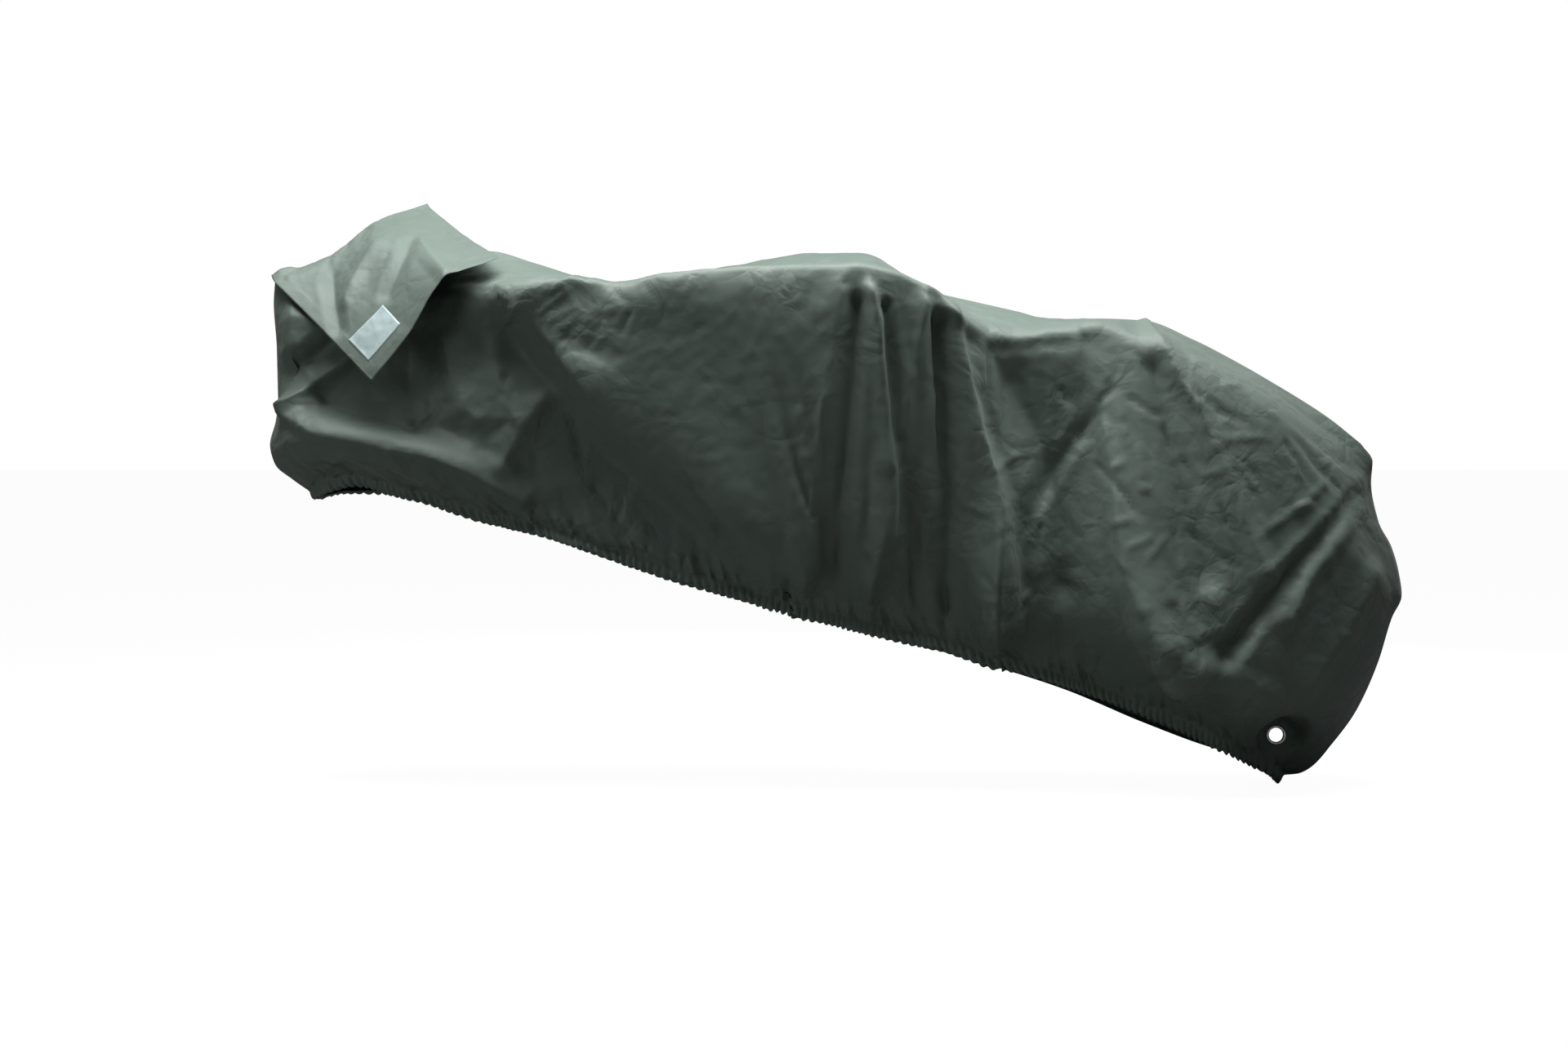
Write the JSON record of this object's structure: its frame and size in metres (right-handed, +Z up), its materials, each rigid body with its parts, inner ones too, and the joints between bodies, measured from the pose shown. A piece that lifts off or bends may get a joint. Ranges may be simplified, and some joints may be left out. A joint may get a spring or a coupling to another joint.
{
  "type": "bicycle cover",
  "caption": "Draped coated-cloth cover for a tandem bicycle, hollow, with gathered hem, folded front flap and eyelets at its rear corners.",
  "frame": {"origin": "the hold under the cover's top, at the rear handlebar", "axes": "+X towards the rear of the cover, +Z up, -Y towards the side on which the front flap hangs"},
  "size_m": [2.4499, 0.5951, 1.2571],
  "materials": {
    "coated_cloth": "semi-matte coated weave, dark grey-green",
    "woven_label": "bare woven patch, silvery blue-grey",
    "eyelet_metal": "bright plated metal"
  },
  "bodies": {
    "root": {"near_panel": "coated_cloth", "far_panel": "coated_cloth", "near_eyelet_strip": "coated_cloth", "far_eyelet_strip": "coated_cloth", "front_flap": "coated_cloth", "label_patch": "woven_label", "near_eyelet_ring": "eyelet_metal", "far_eyelet_ring": "eyelet_metal"}
  },
  "joints": []
}
